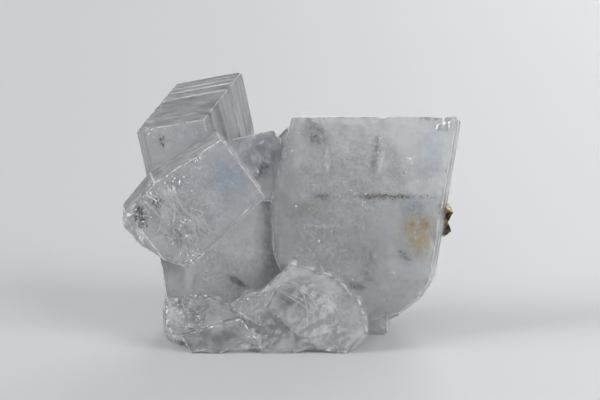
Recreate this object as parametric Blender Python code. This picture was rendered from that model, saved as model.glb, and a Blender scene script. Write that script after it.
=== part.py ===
# A cluster of barite crystals grown together, with a knot of pyrite on its right edge.
# Metres, +Z up. It rests on its broken base at z = 0, and +Y is the side away from the viewer.
# Every crystal is a flat block in its own frame: its broad face is at z = 0 and looks along +z,
# its body reaches down to z = -deep, and its side faces stand round it.

import math

import bmesh
import bpy
from mathutils import Matrix, Vector

MM = 0.001
STOCK = 150 * MM              # the block that each crystal is cut from
GAP = 0.3 * MM                # clearance between pyrite and barite
BASE_DEPTH = 40 * MM          # how much stock is cleared below the base
FOOTPRINT_MIDDLE = (0.9, 6.0, 0.0)   # where the middle of the footprint lies in the places below, mm
WELD = 1e-6
PALE_GREY = (0.62, 0.64, 0.66, 1.0)
BRASSY = (0.40, 0.34, 0.17, 1.0)

# One entry for each crystal, in millimetres and degrees.
# at: a point of the broad face.  turn: about +Z.  lean: 0 looks up, 90 looks at the viewer.
# sides: (bearing, reach) of each side face, square to the broad face, measured from that point.
# bevels: (bearing, rise, reach) of faces that slope, where rise 90 is the broad face itself.
BIG_PLATE = dict(
    at=(15.0, 4.0, 27.7), turn=-11, lean=81, deep=9.0,
    sides=((91, 17.0), (167, 19.0), (185, 19.6), (208, 21.9), (237, 24.0), (287, 23.8),
           (309, 22.3), (327, 20.1), (352, 15.7), (41, 25.0)),
    bevels=())
TALL_BLOCK = dict(
    at=(-17.0, -3.0, 44.8), turn=-22.5, lean=114.5, deep=20.0,
    sides=((1, 0.0), (102, 0.0), (179, 15.8), (289, 14.0)),
    bevels=((52, -33, 10.6), (140, -36, 20.9)))
FRONT_BLOCK = dict(
    at=(-17.5, -11.0, 29.8), turn=11, lean=98.6, deep=8.0,
    sides=((37, 10.5), (123, 8.0), (141, 9.3), (180, 14.4), (222, 15.2), (248, 13.8), (314, 8.8)),
    bevels=((216, 26, 11.4),))
BLOCK_BACKING = dict(
    at=(-17.9, -4.5, 24.9), turn=0, lean=90, deep=12.5,
    sides=((15, 10.3), (95, 8.0), (133, 8.7), (179, 9.9), (230, 8.2), (251, 7.5), (314, 5.5)),
    bevels=())
GREY_PLATE = dict(
    at=(-12.0, 3.4, 16.1), turn=38, lean=88, deep=11.0,
    sides=((2, 17.0), (87, 11.9), (135, 15.0), (188, 16.8), (270, 17.0)),
    bevels=((184, -40, 13.1), (87, -45, 14.0)))
MIDDLE_CRYSTAL = dict(
    at=(-5.9, 9.0, 35.3), turn=10, lean=80, deep=8.0,
    sides=((10, 6.0), (37, 5.9), (102, 5.5), (175, 8.6), (221, 14.0), (276, 8.6)),
    bevels=((102, 30, 6.2),))
SMALL_TIP = dict(
    at=(-1.0, 13.0, 40.0), turn=-10, lean=80, deep=5.0,
    sides=((29, 1.2), (135, 1.0), (176, 3.4), (271, 12.0), (343, 3.8)),
    bevels=())
LOWER_FRONT = dict(
    at=(4.8, -12.5, 7.4), turn=4, lean=78, deep=25.0,
    sides=((7, 9.9), (46, 8.3), (93, 10.3), (134, 10.6), (178, 10.3), (228, 5.2), (272, 10.5),
           (314, 9.9)),
    bevels=((93, 40, 7.9), (46, 35, 7.4), (300, 40, 7.6)))
CORNER_CRYSTAL = dict(
    at=(-7.8, -14.5, 9.2), turn=-14, lean=72, deep=7.0,
    sides=((95, 4.4), (165, 3.8), (240, 1.9), (335, 2.7)),
    bevels=((240, 40, 1.4), (110, 30, 1.6)))
FOOT_LEFT = dict(
    at=(-16.6, -11.5, 9.2), turn=6, lean=70, deep=19.0,
    sides=((70, 2.0), (93, 2.2), (184, 7.8), (212, 8.5), (285, 5.1), (324, 8.6)),
    bevels=((262, 42, 3.7),))
FOOT_UNDER = dict(
    at=(-16.6, -13.8, 1.8), turn=-4, lean=94, deep=22.0,
    sides=((38, 8.9), (107, 3.2), (214, 3.3), (268, 2.8), (298, 5.1)),
    bevels=())
FOOT_MIDDLE = dict(
    at=(-5.5, -12.8, 3.6), turn=0, lean=80, deep=22.0,
    sides=((10, 10.0), (98, 6.4), (195, 4.3), (236, 4.1), (270, 4.5)),
    bevels=())
HEEL_RIGHT = dict(
    at=(17.8, 4.0, 4.0), turn=-6, lean=86, deep=11.0,
    sides=((1, 2.0), (91, 6.5), (181, 14.0), (270, 4.6), (310, 4.0)),
    bevels=())
HEEL_STEP = dict(
    at=(21.4, 6.0, 5.1), turn=-6, lean=86, deep=7.0,
    sides=((91, 2.7), (176, 4.3), (244, 3.4), (294, 1.9), (347, 1.4)),
    bevels=())
BACK_PLATE = dict(
    at=(13.0, 19.0, 15.0), turn=168, lean=86, deep=9.0,
    sides=((8, 12.5), (60, 13.5), (104, 13.0), (150, 16.5), (190, 16.6), (226, 14.5), (270, 16.0)),
    bevels=((104, 42, 10.2), (8, 50, 8.6)))
BACK_LEFT = dict(
    at=(-11.0, 19.0, 18.0), turn=196, lean=86, deep=10.0,
    sides=((14, 9.5), (66, 11.4), (118, 14.0), (178, 10.5), (216, 13.4), (272, 15.4)),
    bevels=((118, 48, 10.4), (14, 42, 7.6)))
BACK_LOW = dict(
    at=(-2.0, 20.5, 7.0), turn=172, lean=70, deep=9.0,
    sides=((4, 8.5), (58, 9.4), (112, 7.4), (182, 8.5), (270, 9.0)),
    bevels=((58, 36, 7.6),))
BACK_WEDGE = dict(
    at=(-19.5, 14.0, 8.0), turn=232, lean=80, deep=8.0,
    sides=((6, 8.0), (84, 8.2), (140, 7.0), (188, 6.6), (268, 9.0)),
    bevels=((84, 40, 6.6),))

# Pyrite cubes: centre, edge length, and turn about X, Y and Z.
PYRITE_CUBES = (
    dict(at=(30.3, 9.0, 24.3), edge=4.2, tilt=(18, 24, 12)),
    dict(at=(31.2, 9.6, 20.9), edge=2.4, tilt=(52, 8, 38)),
    dict(at=(29.0, 10.6, 21.4), edge=3.6, tilt=(8, 40, 61)),
    dict(at=(27.6, 12.0, 24.6), edge=3.6, tilt=(33, 12, 20)),
    dict(at=(30.0, 11.2, 26.4), edge=2.4, tilt=(14, 51, 5)),
)
PYRITE_CHAMFER = 0.35


def from_middle(place):
    """A place in metres, measured from the middle of the footprint."""
    return (Vector(place) - Vector(FOOTPRINT_MIDDLE)) * MM


def facing(turn, lean):
    """Rotation that stands a crystal up and turns it."""
    about_z = Matrix.Rotation(math.radians(turn), 4, "Z")
    return about_z @ Matrix.Rotation(math.radians(lean), 4, "X")


def cut(bm, point, normal):
    """Clear what lies past a plane and close the cut."""
    geometry = bm.verts[:] + bm.edges[:] + bm.faces[:]
    result = bmesh.ops.bisect_plane(bm, geom=geometry, dist=1e-8, plane_co=point,
                                    plane_no=normal, clear_outer=True)
    rim = [item for item in result["geom_cut"] if isinstance(item, bmesh.types.BMEdge)]
    if rim:
        bmesh.ops.edgeloop_fill(bm, edges=rim)


def crystal_mesh(name, habit):
    """A closed crystal, cut face by face from a block of stock."""
    bm = bmesh.new()
    bmesh.ops.create_cube(bm, size=STOCK)
    cut(bm, Vector((0, 0, 0)), Vector((0, 0, 1)))
    cut(bm, Vector((0, 0, -habit["deep"] * MM)), Vector((0, 0, -1)))
    slopes = [(bearing, 0, reach) for bearing, reach in habit["sides"]] + list(habit["bevels"])
    for bearing, rise, reach in slopes:
        along = math.radians(bearing)
        up = math.radians(rise)
        normal = Vector((math.cos(along) * math.cos(up), math.sin(along) * math.cos(up), math.sin(up)))
        cut(bm, normal * reach * MM, normal)
    bmesh.ops.remove_doubles(bm, verts=bm.verts, dist=WELD)
    bmesh.ops.recalc_face_normals(bm, faces=bm.faces)
    mesh = bpy.data.meshes.new(name)
    bm.to_mesh(mesh)
    bm.free()
    return mesh


def cube_mesh(name, edge, chamfer):
    """A cube with cut-off edges."""
    bm = bmesh.new()
    bmesh.ops.create_cube(bm, size=edge)
    bmesh.ops.bevel(bm, geom=bm.edges[:], offset=chamfer, segments=1, profile=0.5, affect="EDGES")
    mesh = bpy.data.meshes.new(name)
    bm.to_mesh(mesh)
    bm.free()
    return mesh


def add_object(name, mesh, matrix):
    body = bpy.data.objects.new(name, mesh)
    bpy.context.scene.collection.objects.link(body)
    body.matrix_world = matrix
    return body


def make_helper(body):
    body.hide_render = True
    body.display_type = "WIRE"
    return body


def boolean(body, other, operation):
    step = body.modifiers.new(operation.lower() + "_" + other.name, "BOOLEAN")
    step.operation = operation
    step.object = other
    step.solver = "EXACT"


def make_material(name, colour, roughness, metallic):
    material = bpy.data.materials.new(name)
    material.use_nodes = True
    shader = material.node_tree.nodes["Principled BSDF"]
    shader.inputs["Base Color"].default_value = colour
    shader.inputs["Roughness"].default_value = roughness
    shader.inputs["Metallic"].default_value = metallic
    return material


def place_crystal(name, habit):
    spot = Matrix.Translation(from_middle(habit["at"]))
    return add_object(name, crystal_mesh(name, habit), spot @ facing(habit["turn"], habit["lean"]))


def place_cube(name, cube, grow):
    turns = [math.radians(angle) for angle in cube["tilt"]]
    spin = Matrix.Rotation(turns[2], 4, "Z") @ Matrix.Rotation(turns[1], 4, "Y")
    spin = spin @ Matrix.Rotation(turns[0], 4, "X")
    edge = cube["edge"] * MM + 2 * grow
    spot = Matrix.Translation(from_middle(cube["at"]))
    return add_object(name, cube_mesh(name, edge, PYRITE_CHAMFER * MM), spot @ spin)


def pyrite_knot(name, grow):
    """Pyrite cubes grown through each other, as one solid."""
    knot = place_cube(name, PYRITE_CUBES[0], grow)
    for number, cube in enumerate(PYRITE_CUBES[1:], start=1):
        boolean(knot, make_helper(place_cube(name + "_cube_%d" % number, cube, grow)), "UNION")
    return knot


def barite_body(others, pocket):
    """All the barite crystals joined in one solid, cut flat below and hollowed for the pyrite."""
    body = place_crystal("barite_cluster", BIG_PLATE)
    for name, habit in others.items():
        boolean(body, make_helper(place_crystal(name, habit)), "UNION")
    ground = bmesh.new()
    bmesh.ops.create_cube(ground, size=1.0)
    bmesh.ops.scale(ground, vec=(STOCK, STOCK, BASE_DEPTH), verts=ground.verts)
    ground_mesh = bpy.data.meshes.new("ground_cut")
    ground.to_mesh(ground_mesh)
    ground.free()
    below = Matrix.Translation((0, 0, -BASE_DEPTH / 2))
    boolean(body, make_helper(add_object("ground_cut", ground_mesh, below)), "DIFFERENCE")
    boolean(body, pocket, "DIFFERENCE")
    return body


for old in list(bpy.data.objects):
    bpy.data.objects.remove(old)

barite_finish = make_material("barite_translucent", PALE_GREY, 0.35, 0.0)
pyrite_finish = make_material("pyrite_tarnished", BRASSY, 0.38, 1.0)

knot = pyrite_knot("pyrite_knot", 0.0)
knot.data.materials.append(pyrite_finish)
pocket = make_helper(pyrite_knot("pyrite_pocket", GAP))
cluster = barite_body({
    "tall_block": TALL_BLOCK,
    "front_block": FRONT_BLOCK,
    "block_backing": BLOCK_BACKING,
    "grey_plate": GREY_PLATE,
    "middle_crystal": MIDDLE_CRYSTAL,
    "small_tip": SMALL_TIP,
    "lower_front": LOWER_FRONT,
    "corner_crystal": CORNER_CRYSTAL,
    "foot_left": FOOT_LEFT,
    "foot_under": FOOT_UNDER,
    "foot_middle": FOOT_MIDDLE,
    "heel_right": HEEL_RIGHT,
    "heel_step": HEEL_STEP,
    "back_plate": BACK_PLATE,
    "back_left": BACK_LEFT,
    "back_low": BACK_LOW,
    "back_wedge": BACK_WEDGE,
}, pocket)
cluster.data.materials.append(barite_finish)
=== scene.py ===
import math
import random

import bmesh
import bpy
from mathutils import Matrix, Vector, noise


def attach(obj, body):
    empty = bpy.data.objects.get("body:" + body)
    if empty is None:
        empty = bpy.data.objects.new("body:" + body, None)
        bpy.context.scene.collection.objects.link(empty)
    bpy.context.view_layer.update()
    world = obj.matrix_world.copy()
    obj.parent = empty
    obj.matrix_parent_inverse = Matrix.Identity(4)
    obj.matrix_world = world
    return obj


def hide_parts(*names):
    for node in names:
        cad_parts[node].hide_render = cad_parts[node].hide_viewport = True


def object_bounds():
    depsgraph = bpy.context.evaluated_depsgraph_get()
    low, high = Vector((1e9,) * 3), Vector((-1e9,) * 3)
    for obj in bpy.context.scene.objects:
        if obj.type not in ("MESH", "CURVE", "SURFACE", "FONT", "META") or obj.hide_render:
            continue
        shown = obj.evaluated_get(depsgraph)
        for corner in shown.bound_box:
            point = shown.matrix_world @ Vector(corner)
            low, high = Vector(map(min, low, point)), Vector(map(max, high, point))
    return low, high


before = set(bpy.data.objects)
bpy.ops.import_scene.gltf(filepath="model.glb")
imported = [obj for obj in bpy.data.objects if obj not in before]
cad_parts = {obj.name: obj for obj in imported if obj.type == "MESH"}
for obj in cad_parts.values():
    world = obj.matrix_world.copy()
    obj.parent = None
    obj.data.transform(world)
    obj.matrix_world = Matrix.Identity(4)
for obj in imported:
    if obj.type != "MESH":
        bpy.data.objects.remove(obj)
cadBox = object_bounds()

scene = bpy.context.scene
mm = 0.001
footprintMiddle = Vector((0.9, 6.0, 0.0))    # of the places below, in mm
stock = 150 * mm    # the block that each crystal is cut from
groundGap = 0.1    # nothing but the base is closer to the ground, mm
rng = random.Random(11)
noise.seed_set(11)    # or else the noise vectors change from run to run


def fromMiddle(place):
    return (Vector(place) - footprintMiddle) * mm


def spun(turns):    # turns in radians about x, then y, then z
    spin = Matrix.Rotation(turns[2], 4, "Z") @ Matrix.Rotation(turns[1], 4, "Y")
    return spin @ Matrix.Rotation(turns[0], 4, "X")


def leaned(lean, turn):    # in degrees
    return spun((math.radians(lean), 0, math.radians(turn)))


def standing(habit):    # the crystal's own frame: its broad face is at z = 0 and looks along +z
    return Matrix.Translation(fromMiddle(habit["at"])) @ leaned(habit["lean"], habit["turn"])


def inCrystal(habit, x, y, depth=0.0):    # a place under the broad face, from mm
    return standing(habit) @ (Vector((x, y, -depth)) * mm)


def direction(bearing, rise=0.0):
    along, up = math.radians(bearing), math.radians(rise)
    return Vector((math.cos(along) * math.cos(up), math.sin(along) * math.cos(up), math.sin(up)))


def soften(amount):    # 0 to 1 with a gentle start and end
    amount = min(1.0, max(0.0, amount))
    return amount * amount * (3 - 2 * amount)


def slopesOf(habit):    # its side faces and bevels: bearing, rise and reach
    return [(bearing, 0, reach) for bearing, reach in habit["sides"]] + list(habit.get("bevels", ()))


def roomInside(habit, local):    # how far a place lies inside the crystal's side faces, in mm
    return min(reach - direction(bearing, rise).dot(local) for bearing, rise, reach in slopesOf(habit))


def cutFace(bm, point, normal):
    geometry = bm.verts[:] + bm.edges[:] + bm.faces[:]
    result = bmesh.ops.bisect_plane(bm, geom=geometry, dist=1e-8, plane_co=point, plane_no=normal,
            clear_outer=True)
    rim = [item for item in result["geom_cut"] if isinstance(item, bmesh.types.BMEdge)]
    if rim:
        bmesh.ops.edgeloop_fill(bm, edges=rim)


def roundEdges(bm, width):
    return bmesh.ops.bevel(bm, geom=bm.edges[:], offset=width * mm, offset_type="OFFSET", segments=2,
            profile=0.5, affect="EDGES", material=-1, clamp_overlap=True)


def scoreLine(bm, point, normal):    # cuts the faces along a plane and keeps both sides
    geometry = bm.verts[:] + bm.edges[:] + bm.faces[:]
    bmesh.ops.bisect_plane(bm, geom=geometry, dist=1e-7, plane_co=point, plane_no=normal)


def addPiece(name, bm, finish, smooth=True):
    mesh = bpy.data.meshes.new(name)
    bm.to_mesh(mesh)
    bm.free()
    piece = bpy.data.objects.new(name, mesh)
    scene.collection.objects.link(piece)
    if finish:
        mesh.materials.append(finish)
    if smooth:
        mesh.shade_smooth()
    return piece


def toLinear(hexText):    # sRGB hex to linear colour
    parts = [int(hexText[i:i + 2], 16) / 255 for i in (1, 3, 5)]
    return tuple(p / 12.92 if p <= 0.04045 else ((p + 0.055) / 1.055) ** 2.4 for p in parts) + (1.0,)


# settings: of the node or its inputs.  links: to each input, a socket or a node's first output.
# stops: (place, hex colour) of a colour band.
def addNode(tree, kind, settings=None, links=None, stops=()):
    node = tree.nodes.new("ShaderNode" + kind)
    for name, value in (settings or {}).items():
        if isinstance(name, str) and name not in node.inputs and hasattr(node, name):
            setattr(node, name, value)
        else:
            node.inputs[name].default_value = value
    for name, source in (links or {}).items():
        tree.links.new(source.outputs[0] if isinstance(source, bpy.types.Node) else source, node.inputs[name])
    for number, (place, colour) in enumerate(stops):
        if number > 1:
            node.color_ramp.elements.new(place)
        node.color_ramp.elements[number].position = place
        node.color_ramp.elements[number].color = toLinear(colour)
    return node


def newMaterial(name):
    material = bpy.data.materials.new(name)
    material.use_nodes = True
    material.node_tree.nodes.clear()
    return material, material.node_tree


crystals = []    # in the order in which they are joined


def crystal(**habit):
    crystals.append(habit)
    return habit


# The crystals. at: a point of the broad face, mm.  turn, lean: degrees.  deep: thickness.
# sides: (bearing, reach) of faces square to the broad face.  bevels: (bearing, rise, reach).
# grid: spacing of the mesh.  layers: (thickness, least and most step) of growth on the side faces.
# ledges: (bearing, reach, drop) of low steps on the broad face.
# nicks: (bearing, place along it, half width, depth) of small losses.
# edge: width of the worn edges.  chip: how unevenly they are worn.  bruised: share of white on them, bruising
# and a painted highlight.
bigPlate = crystal(
    at=(15, 4, 27.7), turn=-11, lean=81, deep=9,
    sides=((91, 17), (167, 19), (185, 19.6), (208, 21.9), (237, 24), (287, 23.8),
        (309, 22.3), (327, 20.1), (352, 15.7), (41, 25)),
    grid=0.7, layers=(2.2, 0.10, 0.28), ledges=((276, 16.7, 0.12),), bruised=0.95,
    nicks=((91, 3.6, 0.9, 0.38), (91, -12.5, 4.5, 0.16), (91, 14.5, 1.6, 0.10), (352, 2, 1.4, 0.20)))
tallBlock = crystal(
    at=(-17, -3, 44.8), turn=-22.5, lean=114.5, deep=20,
    sides=((1, 0), (102, 0), (179, 15.8), (289, 14)),
    bevels=((52, -33, 10.6), (140, -36, 20.9)), grid=0.7, layers=(0.55, 0.02, 0.15))
frontBlock = crystal(
    at=(-17.5, -11, 29.8), turn=11, lean=98.6, deep=8,
    sides=((37, 10.5), (123, 8), (141, 9.3), (180, 14.4), (222, 15.2), (248, 13.8), (314, 8.8)),
    bevels=((216, 26, 11.4),), grid=0.6, layers=(2, 0.04, 0.16), bruised=0.8)
blockBacking = crystal(
    at=(-17.9, -4.5, 24.9), turn=0, lean=90, deep=12.5,
    sides=((15, 10.3), (95, 8), (133, 8.7), (179, 9.9), (230, 8.2), (251, 7.5), (314, 5.5)),
    grid=0.9, layers=(2, 0.05, 0.18))
greyPlate = crystal(
    at=(-12, 3.4, 16.1), turn=38, lean=88, deep=11,
    sides=((2, 17), (87, 11.9), (135, 15), (188, 16.8), (270, 17)),
    bevels=((184, -40, 13.1), (87, -45, 14)), grid=0.8, layers=(2.4, 0.03, 0.12))
middleCrystal = crystal(
    at=(-5.9, 9, 35.3), turn=10, lean=80, deep=8,
    sides=((10, 6), (37, 5.9), (102, 5.5), (175, 8.6), (221, 14), (276, 8.6)),
    bevels=((102, 30, 6.2),), grid=0.7, layers=(1.6, 0.04, 0.14), ledges=((70, 2.4, 0.14),), bruised=0.8)
smallTip = crystal(
    at=(-1, 13, 40), turn=-10, lean=80, deep=5,
    sides=((29, 1.2), (135, 1), (176, 3.4), (271, 12), (343, 3.8)),
    grid=0.7, layers=(1.4, 0.03, 0.10))
lowerFront = crystal(
    at=(4.8, -12.5, 7.4), turn=4, lean=78, deep=25,
    sides=((7, 9.9), (46, 8.3), (71, 8.3), (134, 10.6), (178, 10.3), (228, 5.2), (272, 10.5), (314, 9.9)),
    bevels=((93, 40, 7.9), (46, 35, 7.4), (300, 40, 7.6)), grid=0.6, layers=(2, 0.05, 0.18),
    ledges=((97, 6.4, 0.22), (330, 4.6, 0.14)), edge=0.32, chip=0.30, bruised=0.35)
cornerCrystal = crystal(
    at=(-7.8, -14.5, 9.2), turn=-14, lean=72, deep=7,
    sides=((95, 4.4), (165, 3.8), (240, 1.9), (335, 2.7)),
    bevels=((240, 40, 1.4), (110, 30, 1.6)), grid=0.45, layers=(1, 0.03, 0.10), edge=0.24,
    chip=0.20, bruised=0.9)
footLeft = crystal(
    at=(-16.6, -11.5, 9.2), turn=6, lean=70, deep=19,
    sides=((70, 2), (93, 2.2), (184, 7.8), (212, 8.5), (285, 5.1), (324, 8.6)),
    bevels=((262, 42, 3.7),), grid=0.6, layers=(1.8, 0.05, 0.18), edge=0.30, chip=0.35,
    bruised=0.35)
footUnder = crystal(
    at=(-16.6, -13.8, 1.8), turn=-4, lean=94, deep=22,
    sides=((38, 8.9), (107, 3.2), (214, 3.3), (268, 2.8), (298, 5.1)),
    grid=0.6, layers=(1.6, 0.05, 0.20), edge=0.30, chip=0.35, bruised=0.35)
footMiddle = crystal(
    at=(-5.5, -12.8, 3.6), turn=0, lean=80, deep=22,
    sides=((10, 10), (98, 6.4), (195, 4.3), (236, 4.1), (270, 4.5)),
    grid=0.6, layers=(1.6, 0.05, 0.18), edge=0.30, chip=0.35, bruised=0.35)
heelRight = crystal(
    at=(17.8, 4, 4), turn=-6, lean=86, deep=11,
    sides=((1, 2), (91, 6.5), (181, 14), (270, 4.6), (310, 4)),
    grid=0.7, layers=(1.8, 0.05, 0.18))
heelStep = crystal(
    at=(21.4, 6, 5.1), turn=-6, lean=86, deep=7,
    sides=((91, 2.7), (176, 4.3), (244, 3.4), (294, 1.9), (347, 1.4)),
    grid=0.5, layers=(1.2, 0.05, 0.16))
backPlate = crystal(
    at=(13, 19, 15), turn=168, lean=86, deep=9,
    sides=((8, 12.5), (60, 13.5), (104, 13), (150, 16.5), (190, 16.6), (226, 14.5), (270, 16)),
    bevels=((104, 42, 10.2), (8, 50, 8.6)), grid=0.9, layers=(2, 0.05, 0.20), ledges=((150, 11, 0.10),))
backLeft = crystal(
    at=(-11, 19, 18), turn=196, lean=86, deep=10,
    sides=((14, 9.5), (66, 11.4), (118, 14), (178, 10.5), (216, 13.4), (272, 15.4)),
    bevels=((118, 48, 10.4), (14, 42, 7.6)), grid=0.9, layers=(1.8, 0.05, 0.20), ledges=((66, 7, 0.10),))
backLow = crystal(
    at=(-2, 20.5, 7), turn=172, lean=70, deep=9,
    sides=((4, 8.5), (58, 9.4), (112, 7.4), (182, 8.5), (270, 9)),
    bevels=((58, 36, 7.6),), grid=0.9, layers=(1.6, 0.05, 0.18))
backWedge = crystal(
    at=(-19.5, 14, 8), turn=232, lean=80, deep=8,
    sides=((6, 8), (84, 8.2), (140, 7), (188, 6.6), (268, 9)),
    bevels=((84, 40, 6.6),), grid=0.9, layers=(1.6, 0.05, 0.18))
# Worn edges and their chips, growth lines, nicks, waves of the faces, bruised share (bruising and painted
# highlight), sharp from this angle.
crystalShape = dict(
    edge=0.20, chip=0.14, chipMm=1.1, crumbMm=0.4, loss=2.2, corner=0.6, line=0.05, nearSide=0.35,
    nickFade=1.2, nickSharp=2.5, waveMm=4.0, wave=0.06, bruised=0.7, sharp=24)
apart = Vector((50 * mm, 0, 13 * mm))    # keeps each crystal's own places clear of the next one's


# pale, shade, stria, edge: milky body, its greyer clouds, darker growth bands, bruised edges with a painted
# highlight.
# absorbed, density: light lost inside, for each metre.  glow: how far, in m, the share glowShare wanders.
# bands: clouds, striae and layers, each with its size along a layer and through it in mm, and detail.
# patches: their size in mm, and the noise where one starts and is full.
# striated: the one crystal whose sides are strongly lined, and its reach in mm.
bariteLook = dict(
    pale="#E9EBED", shade="#CDD0D3", stria="#74787D", edge="#FCFDFF",
    transmission=0.82, ior=1.636, absorbed="#A6ABB0", density=5.0, glowShare=0.35, glow=0.0025,
    polished=0.05, etched=0.17, broken=0.12, grainMm=0.45,
    bands=((5.0, 1.3, 4.0), (16.0, 0.22, 3.0), (9.0, 1.2, 2.0)),
    patches=(("fine", 0.34, 0.46, 0.58), ("small", 0.85, 0.40, 0.60), ("wide", 2.6, 0.34, 0.60),
        ("even", 6.0, 0.0, 0.4)),
    striated=tallBlock, striatedMm=24)

# Tints in each crystal, laid one over the other: middle and half widths on its broad face in mm, turn,
# colour, strength, the grain of the patches, and how far down it goes in mm where that isn't tintDeep.
# Some rows are painted light and shade, each marked above it.
tintsAndPaintedLight = (
    (bigPlate, (
        # Painted light: lightens the lower plate, where less light reaches it than the top.
        ((-2, -9), (26, 15), 0, "#FFFFFF", 0.5, "wide"),
        # Painted shade: the dark blotch, as the darkShadows veil here.
        ((-10.6, 13.4), (4, 3.1), -35, "#6A6672", 0.75, "small"),
        # Painted shade: the dark streak, as the darkShadows veil here.
        ((1.8, 9.6), (1, 5.2), -6, "#74777D", 0.75, "small"),
        ((3.2, 8.2), (0.30, 3.4), -12, "#FFFFFF", 1, "wide"),
        ((-8, 7.5), (0.75, 4), 3, "#FFFFFF", 1, "small"),
        ((-9.8, 6.6), (0.6, 2.8), 3, "#FFFFFF", 1, "small"),
        ((-14.3, 7.3), (0.28, 3.6), 29, "#FFFFFF", 1, "wide"),
        ((5.2, 0.9), (10, 0.60), 0, "#6E6A52", 1, "fine"),
        ((-8.8, 0.6), (1.8, 0.45), 0, "#6E6A52", 0.8, "fine"),
        ((4, -7.5), (10.5, 9.5), 0, "#BDBEB6", 0.4, "wide"),
        ((0.9, -13), (3.2, 5.2), 0, "#83877A", 0.65, "small"),
        # Painted shade, as the darkShadows veil here.
        ((8.2, -11), (2.6, 1.1), -40, "#6B6C68", 0.8, "fine"),
        ((10.9, -5.8), (4, 5), 10, "#D8C694", 0.75, "small"),
        ((9.9, -4.4), (0.95, 1.1), 0, "#CFAE60", 0.8, "wide"),
        ((12.2, -4.3), (1.1, 1.2), 0, "#CFAE60", 0.8, "wide"),
        ((10.5, -1.4), (4, 2.4), 0, "#B4C6DA", 0.5, "small"),
        ((13.4, 10.6), (3, 5.5), 0, "#B4C6DA", 0.5, "small"),
        ((-11.2, -1.9), (2.6, 1.7), 0, "#D2BE86", 0.45, "small"),
        # Painted shade, as the darkShadows veil here.
        ((-0.9, -17.4), (2.8, 1), -10, "#64625C", 0.9, "fine"),
        ((-8, -5.4), (7, 0.35), -6, "#FFFFFF", 0.9, "wide"),
        # Painted light: lightens the lower left of the plate, where less light reaches it.
        ((-10, -10), (6, 8), 0, "#FFFFFF", 0.5, "wide"))),
    (frontBlock, (
        ((5.8, 3.8), (5.5, 6), 0, "#C4D4E6", 0.5, "wide"),
        # Painted shade of the open cracks at the broken corner, in this row and the next.
        ((-11.4, -3), (2, 3.8), 12, "#30343A", 1, "fine"),
        ((-8.4, -0.4), (1.7, 1.8), 0, "#30343A", 1, "fine"),
        ((-4.2, 3.6), (3.4, 1.5), 38, "#8A8F96", 0.5, "small"),
        ((-3, -7), (5, 4.5), -60, "#8E939A", 0.5, "small"))),
    (tallBlock, (
        ((-8, -7), (26, 26), 0, "#EEF0F2", 0.9, "even", 0.6),
        # Painted shade of the open cracks here.
        ((-10.6, -5.6), (1.3, 2.2), -10, "#3B3F46", 1, "fine"))),
    (middleCrystal, (
        # Painted shade: darkens the crystal, which sits back in the shade of its neighbours.
        ((0.6, 0.8), (9, 8), 0, "#858B93", 0.75, "wide"),
        # Painted shade: the dark streak, as the darkShadows veil here.
        ((0.8, -1.2), (1.6, 4.5), -35, "#4F545C", 0.85, "small"))),
    (greyPlate, (
        # Painted light: the white lifts the recessed plate out of its shade.
        ((-2, 0), (24, 22), 0, "#FFFFFF", 0.45, "even"),
        # Painted shade: the dark wedge, as the darkShadows veil here.
        ((1.2, -5.1), (4.2, 0.9), -31, "#5E6167", 0.9, "wide"))),
    (lowerFront, (
        # Painted shade: the darker triangle, as the darkShadows veil here.
        ((-4.7, 3.2), (3.2, 3), 20, "#8E9096", 0.6, "even"),
        ((4.9, 0.6), (5, 4.2), 20, "#FFFFFF", 0.8, "wide"),
        ((0.8, -3.9), (5, 2.4), 0, "#FFFFFF", 0.8, "wide"),
        ((1, 2.7), (4.8, 0.5), -43, "#FFFFFF", 1, "wide"),
        ((0, 0), (18, 18), 0, "#C2C5C8", 0.6, "even"))),
    (footLeft, (
        # Painted shade: the dark spot, as the darkShadows veil here.
        ((-5.2, 0.4), (2.2, 1), -10, "#63666C", 0.8, "small"),
        # Painted shade: dims this lower crystal's face.
        ((0.5, -1.6), (8, 4.6), 0, "#9A9DA1", 0.85, "even"))),
    (footUnder, (
        # Painted shade: darkens the underside.
        ((0, 0), (14, 8), 0, "#85838A", 0.85, "wide"),)),
    (footMiddle, (
        # Painted shade: dims this lower crystal's face.
        ((0, 0), (16, 12), 0, "#A2A2A6", 0.7, "even"),
        ((-2.5, 1.2), (2.6, 2.4), 0, "#8B8676", 0.7, "small"))),
    (cornerCrystal, (
        # Painted shade: dims this lower crystal.
        ((0, 0), (9, 9), 0, "#B2B5B8", 0.7, "even"),)))
tintDeep = 2.0


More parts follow.
